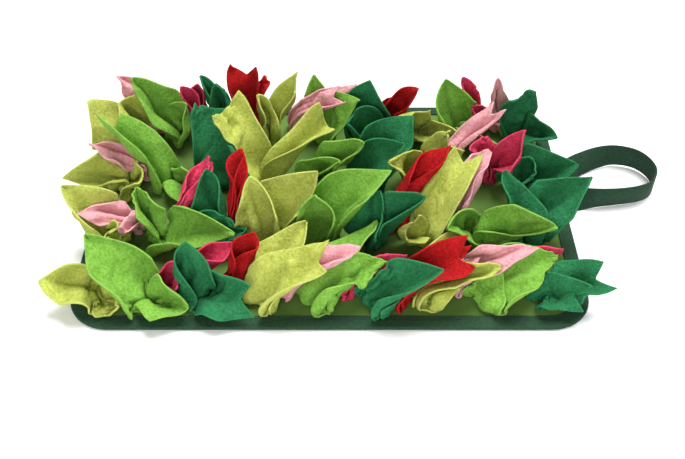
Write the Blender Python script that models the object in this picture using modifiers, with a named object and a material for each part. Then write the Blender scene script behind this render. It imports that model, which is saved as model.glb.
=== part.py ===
"""Snuffle mat: a flat woven base with a folded tape binding, a tape hanging loop at the right edge, and four
rows of pointed fleece strips, each pinched and sewn down at its middle, with both ends standing as leaves."""
import math
from itertools import product

import bmesh
import bpy
from mathutils import Matrix, Vector
from mathutils.bvhtree import BVHTree

MM = 0.001
GAP = 0.3  # clearance between neighbouring pieces, mm

# Base: one padded cloth, lying on the floor in its middle and held a little above it inside the binding.
BASE_WIDTH = 500.0
BASE_DEPTH = 340.0
CORNER_RADIUS = 42.0
CORNER_STEPS = 6
BASE_TOP = 3.0
BASE_EDGE_INSET = 2.3
BASE_COLOUR = (0.12, 0.22, 0.045)

# Binding: a tape folded round the rim, its two flanges of the same width.
TAPE_THICK = 1.0
FLANGE_WIDTH = 15.0
FOLD_ROUND = 1.5
BINDING_HEIGHT = BASE_TOP + GAP + TAPE_THICK
BINDING_COLOUR = (0.02, 0.06, 0.03)

# Hanging loop: a woven tape that leaves the right edge flat, turns up on its edge and comes back.
STRAP_WIDTH = 24.0
STRAP_THICK = 1.4
STRAP_COLOUR = (0.025, 0.075, 0.038)
# Right, back and up of the tape's middle in mm, then how far it leans from standing on its edge, in degrees.
STRAP_ROUTE = (
    (250.6, 2, 2.6, -90),
    (260, 2, 7, -62),
    (276, -1, 12.4, -14),
    (304, 1, 12.8, 0),
    (334, 6, 12.8, 0),
    (351, 17, 12.8, 0),
    (358, 34, 13.0, 0),
    (354, 52, 13.4, 2),
    (340, 65, 13.8, 6),
    (318, 70, 13.4, 14),
    (295, 66, 12.0, 30),
    (273, 57, 9.5, 46),
    (260, 50, 7, 64),
    (250.6, 50, 2.6, 90),
)

# Fleece strips.
FLEECE_THICK = 2.0
ROOT_HEIGHT = BASE_TOP + 2.0 * GAP + 0.5 * FLEECE_THICK
ROOT_HALF = 3.6  # half of the flat stretch that is sewn down
CLEARANCE = 1.2  # left between the leaves where they pass
SELF_CLEARANCE = 0.4  # left between a strip's own folds
LONGEST = 100.0  # no leaf reaches farther from its seam
ROWS = {"front": -135.0, "second": -52.0, "third": 31.0, "back": 114.0}
COLOURS = {
    "lime": (0.50, 0.58, 0.10),
    "apple": (0.21, 0.47, 0.045),
    "dark": (0.014, 0.19, 0.062),
    "pink": (0.78, 0.35, 0.39),
    "rose": (0.63, 0.022, 0.078),
    "red": (0.48, 0.005, 0.008),
}
# A leaf's run: how steeply it leaves the seam, and how much its middle arches up.
RISE = 0.34
ARCH = 0.14
# How a leaf's broad side looks away from its lean, to the front and up.
FACE_SIDE = 0.9
FACE_FRONT = 0.55
FACE_UP = 0.7
# Share of a leaf's width at each share of its length, from the pinched root to the cut tip.
LEAF_OUTLINE = ((0.0, 0.42), (0.2, 0.68), (0.46, 1.0), (0.76, 0.72), (1.0, 0.07))

# Each strip: colour and number of its column, distance right of the mat's middle, how far it is sewn behind
# its row's line, then its two ends.
# Each end: tip to the right, back and up from the seam, width, and how far the edges cup round, in degrees.
STRIPS = {
    "front": (
        ("lime_1", -217, 0, (-50, 4, 20, 54, 20), (26, -24, 20, 40, 20)),
        ("apple_1", -174, -4, (-50, 34, 45, 54, 20), (42, -22, 20, 42, 25)),
        ("rose_1", -151, 10, (52, 25, 24, 41, 80), (14, 0, 36, 28, 30)),
        ("dark_1", -124, -4, (-14, 23, 60, 45, 50), (50, 5, 26, 40, 15)),
        ("red_1", -96, 10, (24, 21, 52, 48, 110), (8, -24, 19, 30, 40)),
        ("lime_2", -69, -4, (62, 4, 51, 50, 20), (46, 52, 40, 40, 20)),
        ("pink_2", -42, 10, (63, -1, 56, 34, 60), (-14, 30, 34, 26, 40)),
        ("apple_2", -15, -4, (62, 14, 38, 56, 25), (74, 46, 38, 40, 20)),
        ("rose_2", 12, 8, (48, 3, 49, 26, 60), (30, 14, 24, 22, 60)),
        ("dark_2", 39, -6, (42, 4, 66, 46, 50), (50, 20, 34, 40, 30)),
        ("red_2", 66, -2, (58, 10, 48, 40, 40), (62, 30, 26, 34, 20)),
        ("lime_3", 93, -4, (62, 10, 33, 56, 30), (30, 50, 40, 42, 20)),
        ("pink_3", 120, 12, (66, 12, 44, 34, 60), (20, 30, 34, 24, 40)),
        ("apple_3", 147, -4, (66, 10, 40, 56, 30), (14, 34, 30, 30, 30)),
        ("rose_3", 174, 14, (46, 14, 55, 32, 50), (30, 34, 24, 24, 40)),
        ("dark_3", 202, 0, (62, 10, 40, 56, 15), (46, -14, 22, 34, 20)),
    ),
    "second": (
        ("lime_1", -219, -4, (-44, 19, 50, 56, 20), (10, -26, 32, 38, 25)),
        ("pink_1", -199, 16, (-52, -18, 28, 32, 20), (-8, -40, 26, 22, 30)),
        ("apple_1", -174, -4, (72, -14, 24, 50, 20), (-22, 24, 42, 36, 15)),
        ("rose_1", -149, 13, (15, 32, 60, 43, 110), (25, 39, 51, 26, 30)),
        ("dark_1", -124, -4, (0, 24, 62, 36, 60), (30, -2, 40, 36, 60)),
        ("red_1", -96, 10, (4, 40, 65, 50, 110), (16, 37, 63, 26, 30)),
        ("lime_2", -69, -4, (52, 22, 64, 54, 25), (-9, 12, 64, 47, 30)),
        ("apple_2", -15, -4, (-10, 4, 59, 52, 60), (69, 30, 60, 57, 15)),
        ("dark_2", 39, -4, (9, 8, 54, 48, 25), (51, -6, 54, 42, 20)),
        ("red_2", 66, 10, (48, 41, 70, 43, 80), (-3, 19, 31, 28, 30)),
        ("lime_3", 93, -4, (43, 50, 64, 46, 30), (-14, -14, 30, 38, 20)),
        ("pink_3", 120, 10, (34, 38, 66, 41, 80), (7, 22, 36, 26, 30)),
        ("apple_3", 147, -4, (69, -12, 27, 46, 20), (-26, -26, 42, 36, 20)),
        ("dark_3", 202, -4, (54, 26, 50, 54, 20), (-17, 36, 60, 42, 30)),
    ),
    "third": (
        ("lime_1", -219, -4, (-60, -1, 14, 57, 20), (16, -26, 32, 36, 20)),
        ("pink_1", -200, 16, (-55, -6, 35, 34, 25), (-3, -21, 30, 26, 30)),
        ("apple_1", -174, -4, (-57, 31, 58, 61, 20), (32, -40, 26, 52, 20)),
        ("dark_1", -124, -4, (-3, 51, 63, 38, 30), (22, 20, 44, 34, 10)),
        ("lime_2", -69, -4, (-48, 46, 67, 42, 25), (68, 46, 53, 54, 15)),
        ("apple_2", -15, -4, (47, -11, 63, 59, 20), (14, -20, 53, 47, 25)),
        ("dark_2", 39, -4, (43, 33, 61, 47, 20), (34, 3, 50, 47, 20)),
        ("lime_3", 93, -4, (-30, -20, 44, 42, 20), (36, 14, 48, 38, 20)),
        ("pink_3", 120, 10, (54, 27, 64, 30, 60), (-4, -1, 39, 26, 30)),
        ("rose_3", 174, 10, (22, -24, 49, 34, 50), (-16, -6, 50, 24, 30)),
        ("dark_3", 202, -4, (55, -2, 28, 52, 15), (10, 4, 34, 40, 25)),
    ),
    "back": (
        ("lime_1", -219, -4, (-11, -4, 48, 47, 20), (-47, -25, 19, 54, -20)),
        ("pink_1", -198, 17, (-25, -16, 71, 35, 25), (-16, -41, 22, 26, 30)),
        ("apple_1", -174, -4, (-42, 9, 68, 52, 20), (34, -12, 44, 28, 20)),
        ("rose_1", -151, 10, (-12, -12, 64, 30, 60), (7, -7, 60, 30, 60)),
        ("dark_1", -124, -4, (-21, 18, 65, 31, 30), (1, 12, 65, 38, 25)),
        ("red_1", -95, 10, (-4, 13, 71, 41, 15), (10, 21, 56, 37, 20)),
        ("lime_2", -69, -4, (-10, -6, 59, 40, 30), (26, 6, 64, 38, 30)),
        ("pink_2", -41, 12, (48, -18, 57, 32, 50), (66, 10, 38, 26, 50)),
        ("apple_2", -15, -4, (-6, 18, 68, 31, 20), (38, -12, 56, 42, 30)),
        ("dark_2", 39, -4, (3, 8, 65, 42, 20), (-30, -26, 44, 40, 20)),
        ("red_2", 65, 12, (29, -10, 58, 35, 30), (6, 10, 35, 30, 30)),
        ("lime_3", 93, -4, (0, 2, 52, 50, 20), (38, -28, 34, 34, 20)),
        ("apple_3", 146, -5, (-16, 21, 60, 42, 25), (39, -44, 17, 52, 30)),
        ("rose_3", 171, 13, (-18, 10, 56, 30, 30), (-16, -14, 34, 20, 30)),
        ("pink_4", 192, 16, (-6, -8, 66, 30, 30), (26, -40, 24, 24, 10)),
        ("dark_3", 214, -4, (-8, -2, 62, 44, 25), (34, -22, 22, 42, 20)),
    ),
}


def clear_scene():
    for thing in list(bpy.data.objects):
        bpy.data.objects.remove(thing, do_unlink=True)


def material(name, colour, rough):
    mat = bpy.data.materials.get(name) or bpy.data.materials.new(name)
    mat.use_nodes = True
    shader = mat.node_tree.nodes["Principled BSDF"]
    shader.inputs["Base Color"].default_value = (*colour, 1.0)
    shader.inputs["Roughness"].default_value = rough
    shader.inputs["Metallic"].default_value = 0.0
    return mat


def add_object(name, bm, mat, home):
    mesh = bpy.data.meshes.new(name)
    bmesh.ops.recalc_face_normals(bm, faces=bm.faces)
    bm.to_mesh(mesh)
    bm.free()
    mesh.materials.append(mat)
    thing = bpy.data.objects.new(name, mesh)
    home.objects.link(thing)
    return thing


def thicken(thing, thick):
    solid = thing.modifiers.new("cloth thickness", "SOLIDIFY")
    solid.thickness = thick * MM
    solid.offset = 0.0


def rounded_outline(inset):
    """Points round the mat's outline, counter-clockwise, at a distance inside its edge."""
    radius = CORNER_RADIUS - inset
    across = 0.5 * BASE_WIDTH - CORNER_RADIUS
    deep = 0.5 * BASE_DEPTH - CORNER_RADIUS
    points = []
    for quarter, (side_x, side_y) in enumerate(((1, 1), (-1, 1), (-1, -1), (1, -1))):
        for step in range(CORNER_STEPS + 1):
            turn = math.radians(90.0 * (quarter + step / CORNER_STEPS))
            x = side_x * across + radius * math.cos(turn)
            y = side_y * deep + radius * math.sin(turn)
            points.append((x, y))
    return points


def loft_round_mat(section, closed):
    """Rings of the mat's outline, one for each inset and height in the section, joined ring to ring."""
    bm = bmesh.new()
    rings = []
    for inset, height in section:
        rings.append([bm.verts.new((x * MM, y * MM, height * MM)) for x, y in rounded_outline(inset)])
    pairs = list(zip(rings, rings[1:]))
    if closed:
        pairs.append((rings[-1], rings[0]))
    else:
        bm.faces.new(rings[0])
        bm.faces.new(rings[-1])
    for lower, upper in pairs:
        count = len(lower)
        for k in range(count):
            bm.faces.new((lower[k], lower[(k + 1) % count], upper[(k + 1) % count], upper[k]))
    return bm


def make_base(home):
    lift = TAPE_THICK + GAP
    section = (
        (FLANGE_WIDTH + 9.0, 0.0),
        (FLANGE_WIDTH + 2.0, lift),
        (BASE_EDGE_INSET, lift),
        (BASE_EDGE_INSET, BASE_TOP),
    )
    cloth = material("base_cloth", BASE_COLOUR, 0.85)
    add_object("base", loft_round_mat(section, False), cloth, home)


def make_binding(home):
    top = BINDING_HEIGHT
    outside = (
        (FLANGE_WIDTH, 0.0),
        (FOLD_ROUND, 0.0),
        (0.0, FOLD_ROUND),
        (0.0, top - FOLD_ROUND),
        (FOLD_ROUND, top),
        (FLANGE_WIDTH, top),
    )
    inside = (
        (FLANGE_WIDTH, top - TAPE_THICK),
        (BASE_EDGE_INSET - GAP, top - TAPE_THICK),
        (TAPE_THICK, top - TAPE_THICK - 0.6),
        (TAPE_THICK, TAPE_THICK + 0.6),
        (BASE_EDGE_INSET - GAP, TAPE_THICK),
        (FLANGE_WIDTH, TAPE_THICK),
    )
    tape = material("binding_tape", BINDING_COLOUR, 0.7)
    add_object("binding", loft_round_mat(outside + inside, True), tape, home)


def make_strap(home):
    bm = bmesh.new()
    middles = [Vector(stop[:3]) for stop in STRAP_ROUTE]
    edges = []
    for k, stop in enumerate(STRAP_ROUTE):
        along = middles[min(k + 1, len(middles) - 1)] - middles[max(k - 1, 0)]
        along.z = 0.0
        outward = Vector((along.y, -along.x, 0.0)).normalized()
        lean = math.radians(stop[3])
        across = Vector((0.0, 0.0, math.cos(lean))) + outward * math.sin(lean)
        half = 0.5 * STRAP_WIDTH
        edges.append([bm.verts.new((middles[k] + across * half * side) * MM) for side in (-1.0, 1.0)])
    for near, far in zip(edges, edges[1:]):
        bm.faces.new((near[0], far[0], far[1], near[1]))
    strap = add_object("strap", bm, material("strap_tape", STRAP_COLOUR, 0.7), home)
    thicken(strap, STRAP_THICK)


def along_curve(points, share):
    """A point and its direction on a four-point curve."""
    a, b, c, d = points
    rest = 1.0 - share
    spot = a * rest**3 + b * 3 * rest**2 * share + c * 3 * rest * share**2 + d * share**3
    heading = (b - a) * rest**2 + (c - b) * 2 * rest * share + (d - c) * share**2
    return spot, heading.normalized()


def facing(reach):
    """The way a leaf's broad side looks: up, to the front and away from its lean."""
    return Vector((-FACE_SIDE * reach.x / reach.length, -FACE_FRONT, FACE_UP)).normalized()


def leaf_rows(strip, which, nudge):
    """Rows of points across one leaf, from its root to its tip, turned, lifted and narrowed by a nudge."""
    turn, lift, share_of_width, share_of_length = nudge
    out, side = strip["outs"][which], strip["side"]
    reach = Vector(strip["ends"][which][:3])
    width, cup = strip["ends"][which][3:]
    look = facing(reach)
    hinge = Vector((reach.y, -reach.x, 0.0)).normalized()
    reach = Matrix.Rotation(math.radians(lift), 3, hinge) @ reach
    reach = Matrix.Rotation(math.radians(turn), 3, "Z") @ reach
    reach *= share_of_length
    start = strip["seat"] + out * ROOT_HALF
    tip = strip["seat"] + reach
    chord = tip - start
    up = Vector((0.0, 0.0, chord.length))
    curve = (start, start + up * RISE + out * 3.0, start + chord * 0.62 + up * ARCH, tip)
    rows = []
    for share, wide in LEAF_OUTLINE:
        spot, heading = along_curve(curve, share)
        own_side = heading.cross(look).normalized()
        if own_side.dot(side) < 0.0:
            own_side = -own_side
        across = side.lerp(own_side, min(1.0, share / 0.6))
        across = (across - heading * across.dot(heading)).normalized()
        normal = across.cross(heading).normalized()
        if normal.dot(look) < 0.0:
            normal = -normal
        bend = math.radians(cup) * math.sin(math.pi * min(1.0, 0.12 + share))
        bend = math.copysign(max(abs(bend), 0.01), cup)
        half = 0.5 * width * share_of_width * wide
        row = []
        for t in (-1.0, -1.0 / 3.0, 1.0 / 3.0, 1.0):
            beside = half * math.sin(bend * t) / bend
            cupped = half * (1.0 - math.cos(bend * t)) / bend
            row.append(spot + across * beside + normal * cupped)
        rows.append(row)
    return rows


def leaf_skin(rows, thick):
    """Points and faces of one leaf's skin, thickened to both sides."""
    count = len(rows[0])
    middle = [point for row in rows for point in row]
    total = len(middle)
    offsets = [Vector((0.0, 0.0, 0.0)) for _ in middle]
    skin = []
    for i in range(len(rows) - 1):
        for j in range(count - 1):
            k = i * count + j
            quad = (k, k + 1, k + count + 1, k + count)
            normal = (middle[quad[2]] - middle[quad[0]]).cross(middle[quad[3]] - middle[quad[1]]).normalized()
            for n in quad:
                offsets[n] += normal
            skin.append(quad)
            skin.append(tuple(n + total for n in quad))
    offsets = [offset.normalized() * (0.5 * thick) for offset in offsets]
    rim = list(range(count)) + [i * count + count - 1 for i in range(1, len(rows))]
    rim += [total - 1 - j for j in range(1, count)] + [i * count for i in range(len(rows) - 2, 0, -1)]
    for here, there in zip(rim, rim[1:] + rim[:1]):
        skin.append((here, there, there + total, here + total))
    points = [point + offset for point, offset in zip(middle, offsets)]
    points += [point - offset for point, offset in zip(middle, offsets)]
    return points, skin


def leaf_tree(rows, thick):
    """A search tree of one leaf's skin."""
    return BVHTree.FromPolygons(*leaf_skin(rows, thick))


def passes_through_itself(rows):
    """True where a strip is rolled or folded so tightly that its skin crosses itself."""
    points, skin = leaf_skin(rows, FLEECE_THICK + SELF_CLEARANCE)
    tree = BVHTree.FromPolygons(points, skin)
    return any(not set(skin[a]) & set(skin[b]) for a, b in tree.overlap(tree))


def above_base(rows):
    """True where a leaf stays above the base, and above the binding at the rim."""
    for row in rows[1:]:
        for point in row:
            from_rim = min(0.5 * BASE_WIDTH - abs(point.x), 0.5 * BASE_DEPTH - abs(point.y))
            floor = BINDING_HEIGHT if from_rim < FLANGE_WIDTH + 3.0 else BASE_TOP
            if point.z < floor + FLEECE_THICK:
                return False
    return True


def nudges():
    """Small ways to turn, lift, narrow and shorten a leaf, the smallest change first."""
    shares = (1.0, 0.9, 0.8, 0.7, 0.6)
    found = []
    for turn, lift, narrow, shorten in product(range(-60, 61, 6), range(-45, 46, 5), shares, shares):
        turned = (turn / 12.0) ** 2 + (lift / 10.0) ** 2
        cut = ((1.0 - narrow) / 0.12) ** 2 + ((1.0 - shorten) / 0.12) ** 2
        found.append((turned + cut, (turn, lift, narrow, shorten)))
    return [nudge for cost, nudge in sorted(found)]


def lay_leaf(strip, which, laid, choices):
    """The first nudge that keeps a leaf clear of the base and of every leaf laid so far."""
    sibling = strip["rows"][1 - which]
    near = [
        tree for other, tree in laid
        if other is not strip and (other["seat"] - strip["seat"]).length < 2.0 * LONGEST
    ]
    for nudge in choices:
        rows = leaf_rows(strip, which, nudge)
        if not above_base(rows):
            continue
        sewn = [[point - strip["outs"][which] * (2.0 * ROOT_HALF) for point in rows[0]]]
        own_tree = leaf_tree(sewn + rows, FLEECE_THICK + 2.0 * CLEARANCE)
        if any(own_tree.overlap(tree) for tree in near):
            continue
        if passes_through_itself((sibling[::-1] if sibling else sewn) + rows):
            continue
        strip["rows"][which] = rows
        return leaf_tree(sewn + rows, FLEECE_THICK)
    raise ValueError("no room for " + strip["name"])


def plan_strip(name, x, y, ends):
    """A strip's seat on the base, the way its fold lies there, and its two ends, the nearer one first."""
    reaches = [Vector(end[:3]) for end in ends]
    across = [reach.cross(facing(reach)).normalized() for reach in reaches]
    both = across[0] + across[1] * math.copysign(1.0, across[0].dot(across[1]))
    out = Vector((both.y, -both.x, 0.0)).normalized()
    if (reaches[0] - reaches[1]).dot(out) < 0.0:
        out = -out
    strip = {"name": name, "seat": Vector((x, y, ROOT_HEIGHT)), "ends": ends, "outs": (out, -out)}
    strip["side"] = Vector((-out.y, out.x, 0.0))
    strip["rows"] = [None, None]
    return strip


def make_strip(strip, home):
    rows = strip["rows"][0][::-1] + strip["rows"][1]
    bm = bmesh.new()
    bmesh.ops.create_grid(bm, x_segments=len(rows) - 1, y_segments=len(rows[0]) - 1, size=1.0)
    for vert in bm.verts:
        along = round((vert.co.x + 1.0) * 0.5 * (len(rows) - 1))
        across = round((vert.co.y + 1.0) * 0.5 * (len(rows[0]) - 1))
        vert.co = rows[along][across] * MM
    colour = strip["name"].split("_")[1]
    made = add_object(strip["name"], bm, material(colour + "_fleece", COLOURS[colour], 0.95), home)
    thicken(made, FLEECE_THICK)


def make_strips(home):
    strips = []
    for row, entries in STRIPS.items():
        for label, x, set_back, first, second in entries:
            strips.append(plan_strip(row + "_" + label, x, ROWS[row] + set_back, (first, second)))
    choices = nudges()
    laid = []
    for which in (0, 1):
        for strip in strips:
            laid.append((strip, lay_leaf(strip, which, laid, choices)))
    for strip in strips:
        make_strip(strip, home)


def build():
    clear_scene()
    home = bpy.data.collections.get("snuffle_mat") or bpy.data.collections.new("snuffle_mat")
    if home.name not in bpy.context.scene.collection.children:
        bpy.context.scene.collection.children.link(home)
    make_base(home)
    make_binding(home)
    make_strap(home)
    make_strips(home)


build()
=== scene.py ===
import math
from itertools import combinations, product

import bmesh
import bpy
import numpy as np
from mathutils import Matrix, Vector
from mathutils.bvhtree import BVHTree


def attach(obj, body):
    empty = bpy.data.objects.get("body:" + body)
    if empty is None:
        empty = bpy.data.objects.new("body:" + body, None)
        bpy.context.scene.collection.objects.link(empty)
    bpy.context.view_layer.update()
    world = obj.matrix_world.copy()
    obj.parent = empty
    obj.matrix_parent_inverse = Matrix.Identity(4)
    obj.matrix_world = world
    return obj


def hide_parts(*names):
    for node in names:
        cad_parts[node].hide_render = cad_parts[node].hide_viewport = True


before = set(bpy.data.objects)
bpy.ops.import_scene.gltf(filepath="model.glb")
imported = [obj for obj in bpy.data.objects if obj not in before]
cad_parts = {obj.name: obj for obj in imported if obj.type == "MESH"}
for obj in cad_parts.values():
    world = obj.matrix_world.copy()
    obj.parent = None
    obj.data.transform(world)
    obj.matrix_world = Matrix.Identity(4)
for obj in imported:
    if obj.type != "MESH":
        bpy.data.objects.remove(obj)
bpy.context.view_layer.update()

# --------
# Base cloth. One layer of plain-woven polyester in leaf green, cut with rounded corners, lying flat on
# the floor in its middle and lifted a little where the binding's lower flange passes under it.
MM = 0.001
MAT_WIDE = 500.0
MAT_DEEP = 340.0
CORNER = 42.0
BASE_TOP = 3.0


def linear(code):
    """The linear colour of an sRGB hex code."""
    parts = [int(code[k : k + 2], 16) / 255.0 for k in (0, 2, 4)]
    return [c / 12.92 if c <= 0.04045 else ((c + 0.055) / 1.055) ** 2.4 for c in parts] + [1.0]


def set_inputs(tree, made, **inputs):
    """Links or sets a node's inputs by name, or by number as i0, i1."""
    for name, value in inputs.items():
        numbered = name[0] == "i" and name[1:].isdigit()
        socket = made.inputs[int(name[1:]) if numbered else name.replace("_", " ")]
        if isinstance(value, bpy.types.NodeSocket):
            tree.links.new(value, socket)
        else:
            socket.default_value = value


def node(tree, kind, settings=None, **inputs):
    """Adds a node with its settings and inputs."""
    made = tree.nodes.new(kind)
    for name, value in (settings or {}).items():
        setattr(made, name, value)
    set_inputs(tree, made, **inputs)
    return made


def noise(tree, scale, detail, **inputs):
    """Clouds over a piece, finer as the scale grows."""
    place = node(tree, "ShaderNodeTexCoord").outputs["Object"]
    return node(tree, "ShaderNodeTexNoise", Vector=place, Scale=scale, Detail=detail, **inputs).outputs["Fac"]


def ridges(tree, way, place, scale):
    """Even ridges that follow each other one way."""
    settings = {"wave_type": "BANDS", "bands_direction": way}
    return node(tree, "ShaderNodeTexWave", settings, Vector=place, Scale=scale).outputs["Fac"]


def sum_of(tree, first, share, second):
    """One value times a share, plus another."""
    settings = {"operation": "MULTIPLY_ADD"}
    return node(tree, "ShaderNodeMath", settings, i0=first, i1=share, i2=second).outputs[0]


def two_tones(tree, factor, deep, pale):
    """A colour that runs from one place and colour to another as a factor grows."""
    ramp = node(tree, "ShaderNodeValToRGB", Fac=factor)
    for stop, (place, colour) in zip(ramp.color_ramp.elements, (deep, pale)):
        stop.position = place
        stop.color = colour
    return ramp.outputs["Color"]


def new_material(name):
    """A material with a Principled shader, its node tree and the shader."""
    made = bpy.data.materials.new(name)
    made.use_nodes = True
    return made, made.node_tree, made.node_tree.nodes["Principled BSDF"]


def finish(tree, shader, colour, height, strength, depth, **inputs):
    """Gives a shader its colour, bumps of a depth in metres, and its other inputs."""
    bump = node(tree, "ShaderNodeBump", Height=height, Strength=strength, Distance=depth)
    set_inputs(tree, shader, Base_Color=colour, Normal=bump.outputs["Normal"], **inputs)


def smooth_mesh(name, points, faces, material):
    """A smooth mesh from points in mm."""
    mesh = bpy.data.meshes.new(name)
    mesh.from_pydata((np.asarray(points, float) * MM).tolist(), [], faces)
    mesh.polygons.foreach_set("use_smooth", [True] * len(mesh.polygons))
    mesh.materials.append(material)
    return mesh


def placed(name, data):
    """An object in the scene, from its data."""
    made = bpy.data.objects.new(name, data)
    bpy.context.scene.collection.objects.link(made)
    return made


def mesh_piece(name, points, faces, material):
    """A piece from points in mm, with its faces turned outwards."""
    mesh = smooth_mesh(name, points, faces, material)
    bm = bmesh.new()
    bm.from_mesh(mesh)
    bmesh.ops.recalc_face_normals(bm, faces=bm.faces)
    bm.to_mesh(mesh)
    bm.free()
    return placed(name, mesh)


def mat_outline(inset, corner_steps=14, side_steps=28):
    """Points round the mat at a distance inside its edge, counter-clockwise."""
    radius = CORNER - inset
    across, deep = 0.5 * MAT_WIDE - CORNER, 0.5 * MAT_DEEP - CORNER
    points = []

    def on_corner(quarter, share):
        """A point a share of the way round one corner."""
        sx, sy = ((1, 1), (-1, 1), (-1, -1), (1, -1))[quarter % 4]
        turn = math.radians(90.0 * (quarter + share))
        return sx * across + radius * math.cos(turn), sy * deep + radius * math.sin(turn)

    for quarter in range(4):
        points += [on_corner(quarter, k / corner_steps) for k in range(corner_steps + 1)]
        a, b = points[-1], on_corner(quarter + 1, 0.0)
        for k in range(1, side_steps):
            points.append((a[0] + (b[0] - a[0]) * k / side_steps, a[1] + (b[1] - a[1]) * k / side_steps))
    return points


def tube(count, rings, first=0, closed=False):
    """Faces through rings of so many points, capped at both ends unless the last ring meets the first."""
    starts = [first + k * count for k in range(rings)]
    faces = []
    for a, b in zip(starts, starts[1:] + [first] * closed):
        for k in range(count):
            n = (k + 1) % count
            faces.append((a + k, a + n, b + n, b + k))
    if not closed:
        faces += [tuple(range(start, start + count)) for start in (starts[0], starts[-1])]
    return faces


def lofted(name, section, closed, material):
    """A piece lofted round the mat through rings at each inset and height of its section."""
    rings = [[(x, y, z) for x, y in mat_outline(inset)] for inset, z in section]
    faces = tube(len(rings[0]), len(rings), closed=closed)
    return mesh_piece(name, [point for ring in rings for point in ring], faces, material)


# Polyester Oxford cloth: matt, threads about 0.9 mm apart, each crossing a small bump.
oxford, tree, shader = new_material("green_oxford_cloth")
place = node(tree, "ShaderNodeTexCoord").outputs["Object"]
warp, weft = (ridges(tree, way, place, 350.0) for way in ("X", "Y"))
threads = node(tree, "ShaderNodeMath", {"operation": "MULTIPLY"}, i0=warp, i1=weft).outputs[0]
uneven = sum_of(tree, threads, 0.35, noise(tree, 28.0, 4.0))
greens = two_tones(tree, uneven, (0.3, linear("46632A")), (0.95, linear("64843E")))
finish(tree, shader, greens, threads, 0.35, 0.0002, Roughness=0.85, Specular_IOR_Level=0.15)

# How far inside the mat's edge and how high each ring of the cloth lies, from its underside to its top.
BASE_RINGS = (
    (24.0, 0.0), (20.0, 0.7), (17.0, 1.3), (2.3, 1.3), (2.0, 2.1), (2.3, BASE_TOP), (20.0, BASE_TOP)
)
base = lofted("base_cloth", BASE_RINGS, False, oxford)
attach(base, "root")
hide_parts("base")

# --------
# Binding. A dark green woven tape folded over the whole edge, both flanges 15 mm wide, stitched through
# near its inner edge with one line of lockstitch.
TAPE = 1.0
FLANGE = 15.0
FLANGE_MIDDLE = 8.0
BINDING_TOP = 4.3
FOLD_OUTSIDE = 1.9
FOLD_INSIDE = 2.0
SEAM_INSIDE = 2.0

# Polyester binding tape: fine uneven threads, matt with a trace of sheen.
tape, tree, shader = new_material("dark_green_binding_tape")
greens = two_tones(tree, noise(tree, 400.0, 4.0), (0.3, linear("1F3B28")), (0.75, linear("2B4934")))
finish(
    tree, shader, greens, noise(tree, 900.0, 3.0), 0.5, 0.0003,
    Roughness=0.9, Specular_IOR_Level=0.2, Sheen_Weight=0.05, Sheen_Roughness=0.4,
)

outside = [(FLANGE, 0.0), (FLANGE_MIDDLE, 0.0), (FOLD_OUTSIDE, 0.0)]
for k in range(1, 8):
    turn = math.pi * k / 8
    up = 0.5 * BINDING_TOP - 0.5 * BINDING_TOP * math.cos(turn)
    outside.append((FOLD_OUTSIDE - FOLD_OUTSIDE * math.sin(turn), up))
outside += [(FOLD_OUTSIDE, BINDING_TOP), (FLANGE_MIDDLE, BINDING_TOP)]
outside += [(FLANGE - 0.5, BINDING_TOP), (FLANGE, BINDING_TOP - 0.4)]
inside = [(FLANGE, BINDING_TOP - TAPE), (FOLD_INSIDE, BINDING_TOP - TAPE)]
for k in range(1, 4):
    turn = math.pi * k / 4
    up = 0.5 * BINDING_TOP + (0.5 * BINDING_TOP - TAPE) * math.cos(turn)
    inside.append((FOLD_INSIDE - TAPE * math.sin(turn), up))
inside += [(FOLD_INSIDE, TAPE), (FLANGE, TAPE)]
binding = lofted("binding_tape", outside + inside, True, tape)
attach(binding, "root")
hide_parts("binding")


def run_along(line):
    """How far along a line of points each one lies."""
    return np.append(0.0, np.cumsum(np.linalg.norm(np.diff(line, axis=0), axis=1)))


# Lockstitch, 2 mm in from the tape's inner edge. Twisted polyester thread: dark green, a little shiny.
STITCH = 2.6
STITCH_EVERY = 3.3
THREAD_RADIUS = 0.26
THREAD_RISE = 0.08
THREAD_SIDES = 6
# Place along a stitch from its middle, its thickness there, and how far it is pulled down.
STITCH_RINGS = ((-0.5 * STITCH, 0.5, 0.25), (-0.7, 1.0, 0.0), (0.7, 1.0, 0.0), (0.5 * STITCH, 0.5, 0.25))
thread, tree, shader = new_material("dark_green_polyester_thread")
greens = two_tones(tree, noise(tree, 1500.0, 2.0), (0.0, linear("2A4C38")), (1.0, linear("44694F")))
set_inputs(tree, shader, Base_Color=greens, Roughness=0.6)
seam = np.array([(*spot, BINDING_TOP) for spot in mat_outline(FLANGE - SEAM_INSIDE)])
seam = np.vstack([seam, seam[:1]])
run = run_along(seam)
stitch_points, stitch_faces = [], []
for at in np.arange(1.0, run[-1] - 2.0, STITCH_EVERY):
    ends = [
        np.array([np.interp(at + way, run, seam[:, k]) for k in range(3)])
        for way in (-0.5 * STITCH, 0.5 * STITCH)
    ]
    ahead = (ends[1] - ends[0]) / np.linalg.norm(ends[1] - ends[0])
    aside = np.array([-ahead[1], ahead[0], 0.0])
    first = len(stitch_points)
    for way, swell, sunk in STITCH_RINGS:
        centre = 0.5 * (ends[0] + ends[1]) + ahead * way
        for k in range(THREAD_SIDES):
            turn = 2.0 * math.pi * k / THREAD_SIDES
            round_thread = aside * math.cos(turn) + np.array([0.0, 0.0, math.sin(turn)])
            height = np.array([0.0, 0.0, THREAD_RISE - sunk])
            stitch_points.append(centre + round_thread * THREAD_RADIUS * swell + height)
    stitch_faces += tube(THREAD_SIDES, len(STITCH_RINGS), first)
stitches = mesh_piece("binding_stitches", stitch_points, stitch_faces, thread)
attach(stitches, "root")

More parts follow.
